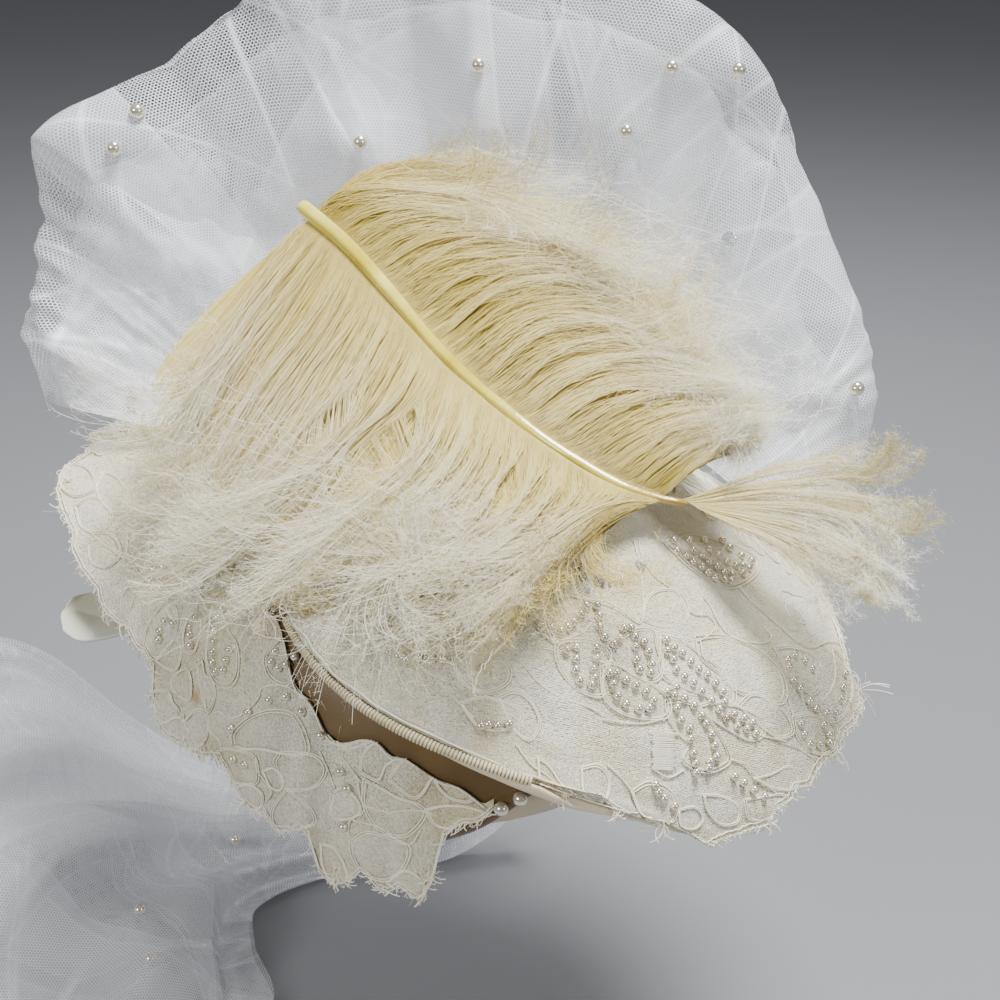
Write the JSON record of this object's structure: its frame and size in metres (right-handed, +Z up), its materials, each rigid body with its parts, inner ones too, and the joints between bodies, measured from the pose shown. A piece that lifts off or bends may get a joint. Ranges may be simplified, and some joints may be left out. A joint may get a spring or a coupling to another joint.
{
  "type": "bridal hat",
  "caption": "Ivory satin bridal hat with a wrap-over lace brim, an ostrich plume over the crown, a standing tulle pouf behind and a tulle veil that falls from the back.",
  "frame": {"origin": "middle of the head opening, where the hat sits on a head", "axes": "+Z up through the top of the dome, -Y to the front of the hat, +X to the right of someone who faces the front"},
  "size_m": [0.4213, 0.2852, 0.4023],
  "materials": {
    "satin": "ivory satin with a soft sheen, slightly yellowed",
    "lace": "corded cream lace on net, matt with raised cords",
    "gimp": "ribbed cream gimp",
    "white_satin": "white satin",
    "quill": "glossy pale yellow horn of a feather",
    "plume": "fluffy cream barbs, yellower near the quill",
    "tulle": "white nylon net, see-through",
    "pearl": "pearlised cream bead",
    "crystal": "clear faceted bead"
  },
  "bodies": {
    "root": {"crown": "satin", "brim": "satin", "brim_edge_gimp": "gimp", "lace_under": "lace", "lace_over": "lace", "satin_petal": "white_satin", "quill": "quill", "plume_vane_near": "plume", "plume_vane_far": "plume", "plume_tip": "plume", "tulle_pouf": "tulle", "tulle_puff": "tulle", "veil": "tulle", "pouf_pearl_1": "pearl", "pouf_pearl_2": "pearl", "pouf_pearl_3": "pearl", "pouf_pearl_4": "pearl", "pouf_pearl_5": "pearl", "pouf_pearl_6": "pearl", "pouf_pearl_7": "pearl", "pouf_pearl_8": "pearl", "pouf_pearl_9": "pearl", "pouf_pearl_10": "pearl", "pouf_pearl_11": "pearl", "pouf_pearl_12": "pearl", "veil_pearl_1": "pearl", "veil_pearl_2": "pearl", "veil_pearl_3": "pearl", "veil_pearl_4": "pearl", "veil_pearl_5": "pearl", "veil_pearl_6": "pearl", "pouf_crystal": "crystal"}
  },
  "joints": []
}
